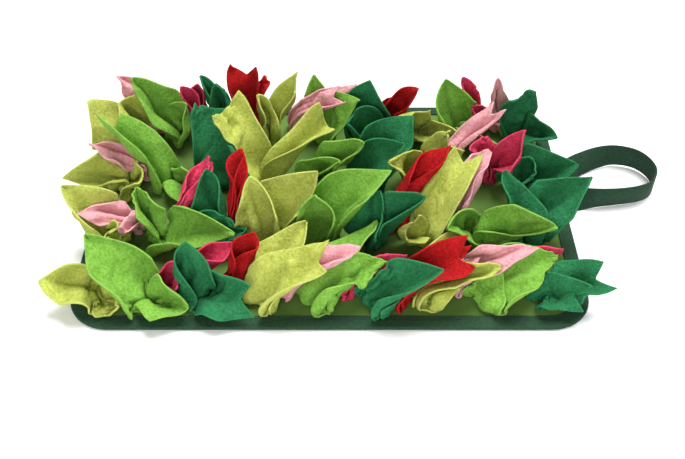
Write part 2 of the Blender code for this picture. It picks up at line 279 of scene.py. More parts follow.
# --------
# Hanging loop. One length of 24 mm dark green webbing that leaves the right edge flat, turns up on its
# edge, and comes back.
LOOP_WIDE = 24.0
LOOP_THICK = 1.4
# Right, back and up of the tape's middle in mm, then how far it leans from standing on its edge, in degrees.
LOOP_ROUTE = (
    (250.6, 2, 2.6, -90),
    (260, 2, 7, -62),
    (276, -1, 12.4, -14),
    (302, 1, 12.8, 0),
    (328, 6, 12.8, 0),
    (344, 16, 12.8, 0),
    (351, 33, 13.0, 0),
    (347, 50, 13.4, 2),
    (335, 63, 13.8, 6),
    (315, 69, 13.4, 14),
    (295, 66, 12.0, 30),
    (273, 57, 9.5, 46),
    (260, 50, 7, 64),
    (250.6, 50, 2.6, 90),
)


def smooth_line(stops, per_stop):
    """A Catmull-Rom line through rows of numbers."""
    stops = np.asarray(stops, float)
    padded = np.vstack([2 * stops[0] - stops[1], stops, 2 * stops[-1] - stops[-2]])
    line = []
    for k in range(1, len(padded) - 2):
        a, b, c, d = padded[k - 1 : k + 3]
        squared, cubed = 2 * a - 5 * b + 4 * c - d, 3 * b - a - 3 * c + d
        for t in np.arange(per_stop) / per_stop:
            line.append(0.5 * (2 * b + (c - a) * t + squared * t**2 + cubed * t**3))
    line.append(stops[-1])
    return np.array(line)


# Woven polyester webbing: ribs 2 mm apart across it, matt.
webbing, tree, shader = new_material("dark_green_webbing")
ribs = ridges(tree, "X", node(tree, "ShaderNodeUVMap", {"uv_map": "UVMap"}).outputs["UV"], 160.0)
greens = two_tones(tree, noise(tree, 420.0, 4.0), (0.3, linear("1B3626")), (0.75, linear("284632")))
finish(
    tree, shader, greens, ribs, 0.4, 0.0002, Roughness=0.88, Specular_IOR_Level=0.2, Sheen_Weight=0.05
)

route = smooth_line(LOOP_ROUTE, 8)
travel = run_along(route[:, :3])
loop_points = []
# Round the tape's section: halves of its width across it, then halves of its thickness through it.
section = [(-1.0, -0.5), (-0.97, -1.0), (0.0, -1.0), (0.97, -1.0), (1.0, -0.5)]
section += [(-a, -b) for a, b in section]
for k, stop in enumerate(route):
    forward = route[min(k + 1, len(route) - 1), :3] - route[max(k - 1, 0), :3]
    level = np.array([forward[1], -forward[0], 0.0])
    level /= np.linalg.norm(level)
    lean = math.radians(stop[3])
    across = np.array([0.0, 0.0, math.cos(lean)]) + level * math.sin(lean)
    through = np.cross(forward / np.linalg.norm(forward), across)
    through /= np.linalg.norm(through)
    for a, b in section:
        loop_points.append(stop[:3] + across * a * 0.5 * LOOP_WIDE + through * b * 0.5 * LOOP_THICK)
round_tape = len(section)
loop = mesh_piece("hanging_loop", loop_points, tube(round_tape, len(route)), webbing)
uv = loop.data.uv_layers.new(name="UVMap")
for face in loop.data.polygons:
    for corner in face.loop_indices:
        v = loop.data.loops[corner].vertex_index
        beside = section[v % round_tape][0] * 0.5 * LOOP_WIDE
        uv.data[corner].uv = (travel[v // round_tape] * MM, beside * MM)
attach(loop, "root")
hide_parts("strap")

# --------
# Fleece strips. Each is one strip of brushed polyester fleece 2 mm thick with two cut ends, pinched into
# pleats at its middle and sewn down there, so that both ends stand up and lean on their neighbours.

# Air between layers, the fleece's thickness, and its height and half its width where it is sewn down.
GAP = 0.3
FLEECE = 2.0
ROOT_HEIGHT = BASE_TOP + 2.0 * GAP + 0.5 * FLEECE
ROOT_HALF = 3.6
# Air round a leaf and within its folds as it is laid, its furthest reach, and how wide the binding counts.
CLEARANCE = 1.2
SELF_CLEARANCE = 0.4
LONGEST = 100.0
BESIDE_BINDING = 3.0
# How a leaf rises, leans out and arches over, where it has turned, its cup; then how its broad side looks.
RISE = 0.34
LEAN_OUT = 3.0
ARCH = 0.14
ARCH_AT = 0.62
TURNED_BY = 0.6
CUP_AT_ROOT = 0.12
FACE_SIDE = 0.9
FACE_FRONT = 0.55
FACE_UP = 0.7
# Share of a leaf's length, and of its width there; then where its points lie across it.
LEAF_OUTLINE = ((0.0, 0.42), (0.2, 0.68), (0.46, 1.0), (0.76, 0.72), (1.0, 0.07))
LEAF_ACROSS = (-1.0, -1.0 / 3.0, 1.0 / 3.0, 1.0)
# Each strip: colour and number of its column, distance right of the mat's middle, how far it is sewn
# behind its row's line, then its two ends.
# Each end: tip to the right, back and up from the seam, width, and how far the edges cup in degrees.
FRONT = (
    ("lime_1", -217, 0, (-50, 4, 20, 54, 20), (26, -24, 20, 40, 20)),
    ("apple_1", -174, -4, (-50, 34, 45, 54, 20), (42, -22, 20, 42, 25)),
    ("rose_1", -151, 10, (52, 25, 24, 41, 80), (14, 0, 36, 28, 30)),
    ("dark_1", -124, -4, (-14, 23, 60, 45, 50), (50, 5, 26, 40, 15)),
    ("red_1", -96, 10, (24, 21, 52, 48, 110), (8, -24, 19, 30, 40)),
    ("lime_2", -69, -4, (62, 4, 51, 50, 20), (46, 52, 40, 40, 20)),
    ("pink_2", -42, 10, (63, -1, 56, 34, 60), (-14, 30, 34, 26, 40)),
    ("apple_2", -15, -4, (62, 14, 38, 56, 25), (74, 46, 38, 40, 20)),
    ("rose_2", 12, 8, (48, 3, 49, 26, 60), (30, 14, 24, 22, 60)),
    ("dark_2", 39, -6, (42, 4, 66, 46, 50), (50, 20, 34, 40, 30)),
    ("red_2", 66, -2, (58, 10, 48, 40, 40), (62, 30, 26, 34, 20)),
    ("lime_3", 93, -4, (62, 10, 33, 56, 30), (30, 50, 40, 42, 20)),
    ("pink_3", 120, 12, (66, 12, 44, 34, 60), (20, 30, 34, 24, 40)),
    ("apple_3", 147, -4, (66, 10, 40, 56, 30), (14, 34, 30, 30, 30)),
    ("rose_3", 174, 14, (46, 14, 55, 32, 50), (30, 34, 24, 24, 40)),
    ("dark_3", 202, 0, (62, 10, 40, 56, 15), (46, -14, 22, 34, 20)),
)
SECOND = (
    ("lime_1", -219, -4, (-44, 19, 50, 56, 20), (10, -26, 32, 38, 25)),
    ("pink_1", -199, 16, (-52, -18, 28, 32, 20), (-8, -40, 26, 22, 30)),
    ("apple_1", -174, -4, (72, -14, 24, 50, 20), (-22, 24, 42, 36, 15)),
    ("rose_1", -149, 13, (15, 32, 60, 43, 110), (25, 39, 51, 26, 30)),
    ("dark_1", -124, -4, (0, 24, 62, 36, 60), (30, -2, 40, 36, 60)),
    ("red_1", -96, 10, (4, 40, 65, 50, 110), (16, 37, 63, 26, 30)),
    ("lime_2", -69, -4, (52, 22, 64, 54, 25), (-9, 12, 64, 47, 30)),
    ("apple_2", -15, -4, (-10, 4, 59, 52, 60), (69, 30, 60, 57, 15)),
    ("dark_2", 39, -4, (9, 8, 54, 48, 25), (51, -6, 54, 42, 20)),
    ("red_2", 66, 10, (48, 41, 70, 43, 80), (-3, 19, 31, 28, 30)),
    ("lime_3", 93, -4, (43, 50, 64, 46, 30), (-14, -14, 30, 38, 20)),
    ("pink_3", 120, 10, (34, 38, 66, 41, 80), (7, 22, 36, 26, 30)),
    ("apple_3", 147, -4, (69, -12, 27, 46, 20), (-26, -26, 42, 36, 20)),
    ("dark_3", 202, -4, (54, 26, 50, 54, 20), (-17, 36, 60, 42, 30)),
)
THIRD = (
    ("lime_1", -219, -4, (-60, -1, 14, 57, 20), (16, -26, 32, 36, 20)),
    ("pink_1", -200, 16, (-55, -6, 35, 34, 25), (-3, -21, 30, 26, 30)),
    ("apple_1", -174, -4, (-57, 31, 58, 61, 20), (32, -40, 26, 52, 20)),
    ("dark_1", -124, -4, (-3, 51, 63, 38, 30), (22, 20, 44, 34, 10)),
    ("lime_2", -69, -4, (-48, 46, 67, 42, 25), (68, 46, 53, 54, 15)),
    ("apple_2", -15, -4, (47, -11, 63, 59, 20), (14, -20, 53, 47, 25)),
    ("dark_2", 39, -4, (43, 33, 61, 47, 20), (34, 3, 50, 47, 20)),
    ("lime_3", 93, -4, (-30, -20, 44, 42, 20), (36, 14, 48, 38, 20)),
    ("pink_3", 120, 10, (54, 27, 64, 30, 60), (-4, -1, 39, 26, 30)),
    ("rose_3", 174, 10, (22, -24, 49, 34, 50), (-16, -6, 50, 24, 30)),
    ("dark_3", 202, -4, (55, -2, 28, 52, 15), (10, 4, 34, 40, 25)),
)
BACK = (
    ("lime_1", -219, -4, (-11, -4, 48, 47, 20), (-47, -25, 19, 54, -20)),
    ("pink_1", -198, 17, (-25, -16, 71, 35, 25), (-16, -41, 22, 26, 30)),
    ("apple_1", -174, -4, (-42, 9, 68, 52, 20), (34, -12, 44, 28, 20)),
    ("rose_1", -151, 10, (-12, -12, 64, 30, 60), (7, -7, 60, 30, 60)),
    ("dark_1", -124, -4, (-21, 18, 65, 31, 30), (1, 12, 65, 38, 25)),
    ("red_1", -95, 10, (-4, 13, 71, 41, 15), (10, 21, 56, 37, 20)),
    ("lime_2", -69, -4, (-10, -6, 59, 40, 30), (26, 6, 64, 38, 30)),
    ("pink_2", -41, 12, (48, -18, 57, 32, 50), (66, 10, 38, 26, 50)),
    ("apple_2", -15, -4, (-6, 18, 68, 31, 20), (38, -12, 56, 42, 30)),
    ("dark_2", 39, -4, (3, 8, 65, 42, 20), (-30, -26, 44, 40, 20)),
    ("red_2", 65, 12, (29, -10, 58, 35, 30), (6, 10, 35, 30, 30)),
    ("lime_3", 93, -4, (0, 2, 52, 50, 20), (38, -28, 34, 34, 20)),
    ("apple_3", 146, -5, (-16, 21, 60, 42, 25), (39, -44, 17, 52, 30)),
    ("rose_3", 171, 13, (-18, 10, 56, 30, 30), (-16, -14, 34, 20, 30)),
    ("pink_4", 192, 16, (-6, -8, 66, 30, 30), (26, -40, 24, 24, 10)),
    ("dark_3", 214, -4, (-8, -2, 62, 44, 25), (34, -22, 22, 42, 20)),
)
# Each row: its name, how far back its line lies, and its strips.
ROWS = (("front", -135.0, FRONT), ("second", -52.0, SECOND), ("third", 31.0, THIRD), ("back", 114.0, BACK))


def along_curve(points, share):
    """A point and its direction on a four-point curve."""
    a, b, c, d = points
    rest = 1.0 - share
    spot = a * rest**3 + b * 3 * rest**2 * share + c * 3 * rest * share**2 + d * share**3
    heading = (b - a) * rest**2 + (c - b) * 2 * rest * share + (d - c) * share**2
    return spot, heading.normalized()


def facing(reach):
    """The way a leaf's broad side looks: up, to the front and away from its lean."""
    return Vector((-FACE_SIDE * reach.x / reach.length, -FACE_FRONT, FACE_UP)).normalized()


def leaf_run(strip, which, nudge):
    """A leaf's middle line, the way its broad side looks, and its length."""
    turn, lift, _, shorten = nudge
    reach = Vector(strip["ends"][which][:3])
    look = facing(reach)
    hinge = Vector((reach.y, -reach.x, 0.0)).normalized()
    reach = Matrix.Rotation(math.radians(lift), 3, hinge) @ reach
    reach = Matrix.Rotation(math.radians(turn), 3, "Z") @ reach
    reach *= shorten
    out = strip["outs"][which]
    start = strip["seat"] + out * ROOT_HALF
    tip = strip["seat"] + reach
    chord = tip - start
    up = Vector((0.0, 0.0, chord.length))
    curve = (start, start + up * RISE + out * LEAN_OUT, start + chord * ARCH_AT + up * ARCH, tip)
    return curve, look, chord.length


def leaf_place(strip, curve, look, share):
    """A leaf's middle point, the way across it and the way its face looks, at a share of its length."""
    spot, heading = along_curve(curve, share)
    own_side = heading.cross(look).normalized()
    if own_side.dot(strip["side"]) < 0.0:
        own_side = -own_side
    across = strip["side"].lerp(own_side, min(1.0, share / TURNED_BY))
    across = (across - heading * across.dot(heading)).normalized()
    normal = across.cross(heading).normalized()
    if normal.dot(look) < 0.0:
        normal = -normal
    return spot, across, normal


def leaf_rows(strip, which, nudge):
    """Rows of points across one leaf, from its root to its tip, turned, lifted and narrowed by a nudge."""
    curve, look, _ = leaf_run(strip, which, nudge)
    width, cup = strip["ends"][which][3:]
    rows = []
    for share, wide in LEAF_OUTLINE:
        spot, across, normal = leaf_place(strip, curve, look, share)
        bend = math.radians(cup) * math.sin(math.pi * min(1.0, CUP_AT_ROOT + share))
        bend = math.copysign(max(abs(bend), 0.01), cup)
        half = 0.5 * width * nudge[2] * wide
        row = []
        for t in LEAF_ACROSS:
            beside = half * math.sin(bend * t) / bend
            cupped = half * (1.0 - math.cos(bend * t)) / bend
            row.append(spot + across * beside + normal * cupped)
        rows.append(row)
    return rows


def leaf_skin(rows, thick):
    """Points and faces of one leaf's skin, thickened to both sides."""
    count = len(rows[0])
    middle = [point for row in rows for point in row]
    total = len(middle)
    offsets = [Vector((0.0, 0.0, 0.0)) for _ in middle]
    skin = []
    for i in range(len(rows) - 1):
        for j in range(count - 1):
            k = i * count + j
            quad = (k, k + 1, k + count + 1, k + count)
            normal = (middle[quad[2]] - middle[quad[0]]).cross(middle[quad[3]] - middle[quad[1]])
            normal.normalize()
            for n in quad:
                offsets[n] += normal
            skin.append(quad)
            skin.append(tuple(n + total for n in quad))
    offsets = [offset.normalized() * (0.5 * thick) for offset in offsets]
    rim = list(range(count)) + [i * count + count - 1 for i in range(1, len(rows))]
    rim += [total - 1 - j for j in range(1, count)] + [i * count for i in range(len(rows) - 2, 0, -1)]
    for here, there in zip(rim, rim[1:] + rim[:1]):
        skin.append((here, there, there + total, here + total))
    points = [point + offset for point, offset in zip(middle, offsets)]
    points += [point - offset for point, offset in zip(middle, offsets)]
    return points, skin


def passes_through_itself(rows):
    """True where a strip is rolled or folded so tightly that its skin crosses itself."""
    points, skin = leaf_skin(rows, FLEECE + SELF_CLEARANCE)
    tree = BVHTree.FromPolygons(points, skin)
    return any(not set(skin[a]) & set(skin[b]) for a, b in tree.overlap(tree))


def above_base(rows):
    """True where a leaf stays above the base, and above the binding at the rim."""
    for row in rows[1:]:
        for point in row:
            from_rim = min(0.5 * MAT_WIDE - abs(point.x), 0.5 * MAT_DEEP - abs(point.y))
            floor = BINDING_TOP if from_rim < FLANGE + BESIDE_BINDING else BASE_TOP
            if point.z < floor + FLEECE:
                return False
    return True


def nudges():
    """Small ways to turn, lift, narrow and shorten a leaf, the smallest change first."""
    shares = (1.0, 0.9, 0.8, 0.7, 0.6)
    found = []
    for turn, lift, narrow, shorten in product(range(-60, 61, 6), range(-45, 46, 5), shares, shares):
        turned = (turn / 12.0) ** 2 + (lift / 10.0) ** 2
        cut = ((1.0 - narrow) / 0.12) ** 2 + ((1.0 - shorten) / 0.12) ** 2
        found.append((turned + cut, (turn, lift, narrow, shorten)))
    return [nudge for _, nudge in sorted(found)]


def lay_leaf(strip, which, laid, choices):
    """The first nudge that keeps a leaf clear of the base and of every leaf laid so far."""
    sibling = strip["rows"][1 - which]
    near = [
        tree for other, tree in laid
        if other is not strip and (other["seat"] - strip["seat"]).length < 2.0 * LONGEST
    ]
    for nudge in choices:
        rows = leaf_rows(strip, which, nudge)
        if not above_base(rows):
            continue
        sewn = [[point - strip["outs"][which] * (2.0 * ROOT_HALF) for point in rows[0]]]
        own_tree = BVHTree.FromPolygons(*leaf_skin(sewn + rows, FLEECE + 2.0 * CLEARANCE))
        if any(own_tree.overlap(tree) for tree in near):
            continue
        if passes_through_itself((sibling[::-1] if sibling else sewn) + rows):
            continue
        strip["rows"][which] = rows
        strip["nudges"][which] = nudge
        return BVHTree.FromPolygons(*leaf_skin(sewn + rows, FLEECE))
    raise ValueError("no room for " + strip["name"])


def plan_strip(name, x, y, ends):
    """A strip's seat on the base, the way its fold lies there, and its two ends."""
    reaches = [Vector(end[:3]) for end in ends]
    across = [reach.cross(facing(reach)).normalized() for reach in reaches]
    both = across[0] + across[1] * math.copysign(1.0, across[0].dot(across[1]))
    out = Vector((both.y, -both.x, 0.0)).normalized()
    if (reaches[0] - reaches[1]).dot(out) < 0.0:
        out = -out
    return {
        "name": name, "colour": name.split("_")[1], "seat": Vector((x, y, ROOT_HEIGHT)), "ends": ends,
        "outs": (out, -out), "side": Vector((-out.y, out.x, 0.0)),
        "rows": [None, None], "nudges": [None, None],
    }


strips = []
for row, line, entries in ROWS:
    for label, x, set_back, first, second in entries:
        strips.append(plan_strip(row + "_" + label, x, line + set_back, (first, second)))
choices, laid = nudges(), []
for which in (0, 1):
    for strip in strips:
        laid.append((strip, lay_leaf(strip, which, laid, choices)))


# Brushed polyester fleece: matt with a soft nap, pilled into grains of about 2 mm, with a painted sheen that
# makes the cut edge paler.
# Each colour: its deep, middle and pale tone; the pale tone is also painted along the cut edges as a sheen.
FLEECE_COLOURS = {
    "lime": ("76882A", "B6BF50", "CED67A"),
    "apple": ("3F721E", "76AC3A", "98C85E"),
    "dark": ("0E4428", "226F43", "3C8E5A"),
    "pink": ("BE6E76", "E6A2A8", "F4BEC2"),
    "rose": ("860E2C", "CC2A50", "E65A78"),
    "red": ("620506", "A80E12", "C82426"),
}


def fleece_material(name, deep, middle, pale):
    """Fleece from the colours of its hollows, its faces and its nap; the nap's pale colour is also painted
    along the cut edges as a sheen.
    """
    made, tree, shader = new_material(name)
    grain = noise(tree, 360.0, 3.0, Roughness=0.6)
    patch, fuzz = noise(tree, 70.0, 3.0), noise(tree, 1800.0, 2.0)
    deeper = [0.45 * a + 0.55 * b for a, b in zip(linear(middle), linear(deep))]
    paler = [0.6 * a + 0.4 * b for a, b in zip(linear(middle), linear(pale))]
    tones = two_tones(tree, sum_of(tree, patch, 0.45, grain), (0.48, deeper), (0.92, paler))
    # Painted sheen: the cut edges are mixed towards the pale colour, as if their fuzz caught the light.
    edge = node(tree, "ShaderNodeAttribute", {"attribute_name": "painted_edge_sheen"}).outputs["Fac"]
    tones_and_edge_sheen = node(tree, "ShaderNodeMix", {"data_type": "RGBA"}, i0=edge, i6=tones, i7=linear(pale))
    finish(
        tree, shader, tones_and_edge_sheen.outputs[2], sum_of(tree, fuzz, 0.35, grain), 1.0, 0.0018,
        Roughness=0.95, Specular_IOR_Level=0.15,
        Sheen_Weight=0.12, Sheen_Roughness=0.5, Sheen_Tint=linear(pale),
    )
    return made


fleeces = {name: fleece_material(name + "_fleece", *codes) for name, codes in FLEECE_COLOURS.items()}

LEAF_ROWS = 30
ACROSS = 24
SEWN_ROWS = 3
PLEAT_SHARES = (0.0, 0.14, 0.42, 1.0)
# Colour: width of the cut times its plan's, degrees of cup added and of crease along the middle, degrees
# of pleating at four shares of its length, and how long one pleat is in mm.
FOLDS = {
    "lime": (2.25, 0.0, 46.0, (78.0, 58.0, 34.0, 12.0), 52.0),
    "apple": (2.25, 0.0, 48.0, (78.0, 58.0, 34.0, 12.0), 50.0),
    "dark": (2.2, 0.0, 46.0, (78.0, 58.0, 34.0, 12.0), 46.0),
    "pink": (1.75, 8.0, 20.0, (92.0, 84.0, 76.0, 50.0), 22.0),
    "rose": (1.9, 55.0, 30.0, (80.0, 50.0, 24.0, 6.0), 30.0),
    "red": (1.9, 55.0, 30.0, (80.0, 50.0, 24.0, 6.0), 30.0),
}
edge_spread = np.linspace(-1.0, 1.0, ACROSS)
finely = np.linspace(-1.0, 1.0, 121)
# Strips cut straight across, strips cut into two tips, the share of the others that are, and the notch.
SQUARE_ENDED = ("back_lime_1", "third_lime_2", "third_dark_1", "third_rose_3")
TWO_TIPPED = (
    "back_red_1", "back_pink_2", "back_lime_3", "third_apple_1", "third_pink_3", "second_lime_3",
    "front_red_2", "front_dark_3",
)
BY_CHANCE = 0.1
NOTCH = 13.0
# Share of its plan's turn and lift that a leaf keeps, its length times its plan's, and its widest cut.
FREED = 0.82
LONGER = 1.12
LONGER_FOR = {"front_dark_3": 0.9, "third_lime_2": 1.0, "third_dark_1": 1.03}
WIDEST_CUT = 76.0
NARROWEST = 0.8
# The range that a leaf's creasing, curl at the tip, twist, slant of its end and sway are drawn from.
CREASING = (0.55, 1.2)
CURL = (-6.0, 9.0)
TWIST = (-0.45, 0.45)
SLANT = (-0.35, 0.35)
SWAY = (1.5, 4.5)
ANY_PHASE = (0.0, 6.28)
# Half a crease's width, where ripples reach their height, where curl and twist start and how long they grow.
CREASE_HALF = 3.0
RIPPLED_FROM = 0.25
CURL_FROM, CURL_OVER = 0.55, 0.45
TWIST_FROM, TWIST_OVER = 0.3, 0.7
# How often a ripple comes down a leaf and across it, where it starts, and how high it is.
RIPPLE = ((2.0, 5.0), (-4.0, 4.0), ANY_PHASE, (0.4, 1.2))
RIPPLES = 4


def cut_outline(width, ending, rng):
    """Half the width of the cut cloth at three shares of its length, on its left and right."""
    sides = []
    for _ in (0, 1):
        broad = 0.5 * width * rng.uniform(0.9, 1.1)
        if ending == "square":
            widest, halves = 0.9, (0.72 * broad, 0.8 * broad, 0.76 * broad)
        elif ending == "two tips":
            widest = rng.uniform(0.4, 0.6)
            halves = (0.7 * broad, 0.78 * broad, rng.uniform(0.4, 0.55) * broad)
        else:
            widest, halves = rng.uniform(0.3, 0.58), (0.86 * broad, broad, 0.7)
        sides.append(((0.0, widest, 1.0), halves))
    return sides


def drawn_through(stops, fine):
    """A matrix that draws straight lines through points at the stops."""
    return np.stack([np.interp(fine, stops, unit) for unit in np.eye(len(stops))], 1)


def planned_leaf(strip, which):
    """Rows of points across one leaf as it was laid, before it is let out."""
    rows = np.array([[tuple(point) for point in row] for row in strip["rows"][which]])
    down = drawn_through([share for share, _ in LEAF_OUTLINE], np.linspace(0.0, 1.0, LEAF_ROWS))
    over = drawn_through(LEAF_ACROSS, edge_spread)
    return np.einsum("ai,bj,ijk->abk", down, over, rows)


def cut_leaf(strip, which, pleat, cut, notch, rng):
    """Rows of points across one leaf as cut and folded, and where each lies on the flat cloth."""
    turn, lift, narrow, shorten = strip["nudges"][which]
    longer = LONGER_FOR.get(strip["name"], LONGER)
    nudge = (turn * FREED, lift * FREED, narrow, shorten**FREED * longer)
    curve, look, length = leaf_run(strip, which, nudge)
    cup = strip["ends"][which][4]
    _, cup_added, crease, pleated, pleat_long = FOLDS[strip["colour"]]
    crease *= rng.uniform(*CREASING)
    phase, drift = pleat
    curl, twist, slant = rng.uniform(*CURL), rng.uniform(*TWIST), rng.uniform(*SLANT)
    sway, sway_phase = rng.uniform(*SWAY), rng.uniform(*ANY_PHASE)
    ripples = [[rng.uniform(*spread) for spread in RIPPLE] for _ in range(RIPPLES)]
    grid = np.zeros((LEAF_ROWS, ACROSS, 3))
    flat = np.zeros((LEAF_ROWS, ACROSS, 2))
    cup_all = math.radians(cup + math.copysign(cup_added, cup))
    for i in range(LEAF_ROWS):
        share = i / (LEAF_ROWS - 1)
        spot, across, normal = np.array(leaf_place(strip, curve, look, share))
        heading = np.cross(across, normal)
        if heading @ np.array(along_curve(curve, share)[1]) < 0:
            heading = -heading
        if i == 0:
            sign = 1.0 if normal @ np.array(strip["outs"][0]) > 0 else -1.0
        halves = [np.interp(share, *side) for side in cut]
        pinch = np.radians(np.interp(share, PLEAT_SHARES, pleated))
        reach = np.where(finely < 0, halves[0], halves[1])
        arc = finely * reach
        bend = cup_all * math.sin(math.pi * min(1.0, CUP_AT_ROOT + share))
        angle = bend * finely + math.radians(crease) * math.copysign(1.0, cup) * np.tanh(arc / CREASE_HALF)
        angle += sign * pinch * np.sin(2 * np.pi * arc / pleat_long + phase + drift * share)
        step = (finely[1] - finely[0]) * 0.5 * (reach[1:] + reach[:-1])
        middle = 0.5 * (angle[1:] + angle[:-1])
        beside, lifted = (np.append(0.0, np.cumsum(way(middle) * step)) for way in (np.cos, np.sin))
        beside -= 0.5 * np.interp(0.0, finely, beside) + 0.25 * (beside[0] + beside[-1])
        lifted -= np.mean(lifted)
        beside, lifted = np.interp(edge_spread, finely, beside), np.interp(edge_spread, finely, lifted)
        grown = min(1.0, share / RIPPLED_FROM)
        lifted += curl * max(0.0, (share - CURL_FROM) / CURL_OVER) ** 2
        lifted += sway * math.sin(3.4 * share + sway_phase) * grown * (1.0 - 0.4 * share)
        for down, over, start, size in ripples:
            lifted += size * np.sin(down * 3.0 * share + over * edge_spread + start) * grown
        turn = twist * max(0.0, (share - TWIST_FROM) / TWIST_OVER)
        turned = across * math.cos(turn) + normal * math.sin(turn)
        raised = normal * math.cos(turn) - across * math.sin(turn)
        arcs = np.interp(edge_spread, finely, arc)
        ahead = slant * arcs * share**2 + notch * (np.abs(edge_spread) - 0.9) * share**3
        grid[i] = spot + np.outer(beside, turned) + np.outer(lifted, raised) + np.outer(ahead, heading)
        flat[i, :, 0] = arcs
        flat[i, :, 1] = share * length + ahead
    return grid, flat


def joined(first, second):
    """Rows of both leaves and of the cloth sewn down between them."""
    between = np.arange(1, SEWN_ROWS + 1)[:, None, None] / (SEWN_ROWS + 1)
    return np.concatenate([first[::-1], first[0] + (second[0] - first[0]) * between, second])


def cut_strip(strip, seed):
    """Rows of points over a whole strip, where each lies on the flat cloth, and how far from the cut edge."""
    rng = np.random.default_rng(seed)
    pleat = (rng.uniform(0, 2 * math.pi), rng.uniform(-1.2, 1.2))
    wider = FOLDS[strip["colour"]][0]
    grids, flats, edges = [], [], []
    for which in (0, 1):
        narrow = max(strip["nudges"][which][2], NARROWEST)
        width = min(WIDEST_CUT, strip["ends"][which][3] * narrow * wider)
        two_tips = strip["name"] in TWO_TIPPED or rng.random() < BY_CHANCE
        ending = "square" if strip["name"] in SQUARE_ENDED else "two tips" if two_tips else "pointed"
        cut = cut_outline(width, ending, rng)
        grid, flat = cut_leaf(strip, which, pleat, cut, NOTCH if ending == "two tips" else 0.0, rng)
        end = flat[-1:, :, 1]
        halves = np.where(edge_spread < 0, np.abs(flat[:, :1, 0]), np.abs(flat[:, -1:, 0]))
        edges.append(np.minimum((1.0 - np.abs(edge_spread)) * halves, (end - flat[..., 1]).clip(0)))
        grids.append(grid)
        flats.append(flat)
    flats[0][..., 1] = -flats[0][..., 1] - ROOT_HALF
    flats[1][..., 1] += ROOT_HALF
    edge = np.concatenate([edges[0][::-1], np.repeat(edges[0][:1], SEWN_ROWS, 0), edges[1]])
    return joined(*grids), joined(*flats), edge


# The strips are let out from their plan to their full cut while they push each other aside.
FIRST_SEED = 100
LET_OUT_STEPS = 84
# Share of the steps after which every strip has its full cut.
GROWN_AFTER = 0.75
# Pull to the cut shape as a strip grows and after, back to its plan where it crosses another, and the
# push in mm that halves the pull.
PULL_GROWING = 0.12
PULL_GROWN = 0.03
PULL_BACK = 0.1
YIELDS_AT = 0.15
# Steps between two searches for crossings, how many points round one back off, and how far each time.
CROSSED_EVERY = 7
CROSSED_SPREAD = 4
BACK_OFF = 0.5
# Distance that faces keep, how far sideways they reach and fade out, how much further points are looked
# for, and within how many reaches on the flat cloth they don't push.
APART = 2.7
NEAR = 4.2
FADE = 2.0
FURTHER = 0.6
SAME_PATCH = 1.4
# Strength of a push, its share at a strip's rim, and how far a point may move at once.
PUSH = 1.9
RIM_SHARE = 0.3
FURTHEST_STEP = 0.5
# How softly the cut shape meets the base, how far past the rim it may sink to the floor, and how much more
# than they lack the held lengths are corrected.
SOFT_LANDING = 1.5
OVER_THE_EDGE = 2.0
OVERSHOOT = 1.2
# Lengths that are held: so many rows down, so many points across, and how stiffly.
LINKS = (
    (1, 0, 0.9), (0, 1, 0.9), (1, 1, 0.5), (1, -1, 0.5),
    (2, 0, 0.35), (0, 2, 0.35), (4, 0, 0.15), (0, 4, 0.15),
)


def ends_of(grids, down, over):
    """Both ends of every link that goes so many rows down and columns over."""
    rows, cols = grids.shape[1:3]
    here = (slice(None), slice(0, rows - down), slice(max(0, -over), cols - max(0, over)))
    there = (slice(None), slice(down, rows), slice(max(0, over), cols - max(0, -over)))
    return here, there


def close_pairs(points, reach):
    """Every pair of points closer than reach."""
    cells = np.floor((points - points.min(0)) / reach).astype(np.int64) + 1
    size = cells.max(0) + 2
    key = (cells[:, 0] * size[1] + cells[:, 1]) * size[2] + cells[:, 2]
    order = np.argsort(key, kind="stable")
    sorted_key = key[order]
    found = []
    for dx, dy in ((0, 0), (0, 1), (1, -1), (1, 0), (1, 1)):
        middle = sorted_key + (dx * size[1] + dy) * size[2]
        start = np.searchsorted(sorted_key, middle - 1, "left")
        stop = np.searchsorted(sorted_key, middle + 1, "right")
        if (dx, dy) == (0, 0):
            start = np.maximum(start, np.arange(len(key)) + 1)
        count = np.maximum(stop - start, 0)
        a = np.repeat(np.arange(len(key)), count)
        b = np.arange(count.sum()) - np.repeat(np.cumsum(count) - count, count) + np.repeat(start, count)
        near = ((points[order[a]] - points[order[b]]) ** 2).sum(1) < reach * reach
        found.append(order[np.stack([a[near], b[near]])])
    return np.concatenate(found, 1)


def lowest(grid):
    """The height of the middle of the cloth where it lies on the base, the binding or the floor."""
    inside = np.minimum(0.5 * MAT_WIDE - np.abs(grid[..., 0]), 0.5 * MAT_DEEP - np.abs(grid[..., 1]))
    low = np.where(inside < FLANGE + BESIDE_BINDING, BINDING_TOP, BASE_TOP) + 0.5 * FLEECE + GAP
    return np.where(inside < -OVER_THE_EDGE, 0.5 * FLEECE + GAP, low)


def grid_quads(rows, cols):
    """The four corners of every square of a grid of points."""
    index = np.arange(rows * cols).reshape(rows, cols)
    return np.stack([index[:-1, :-1], index[1:, :-1], index[1:, 1:], index[:-1, 1:]], -1).reshape(-1, 4)


def crossed(grids):
    """1 at and round every point where one strip has passed through another, 0 elsewhere."""
    quads = grid_quads(*grids.shape[1:3])
    trees = [BVHTree.FromPolygons(grid.reshape(-1, 3).tolist(), quads.tolist()) for grid in grids]
    low, high = grids.min((1, 2)), grids.max((1, 2))
    found = np.zeros(grids.shape[:3])
    for i, j in combinations(range(len(grids)), 2):
        if (low[i] < high[j]).all() and (low[j] < high[i]).all():
            for a, b in trees[i].overlap(trees[j]):
                found[i].flat[quads[a]] = 1.0
                found[j].flat[quads[b]] = 1.0
    for _ in range(CROSSED_SPREAD):
        for axis in (1, 2):
            wide = np.pad(found, [(0, 0) if k != axis else (1, 1) for k in range(3)], mode="edge")
            shifted = [np.take(wide, range(k, k + found.shape[axis]), axis) for k in range(3)]
            found = np.maximum.reduce(shifted)
    return found


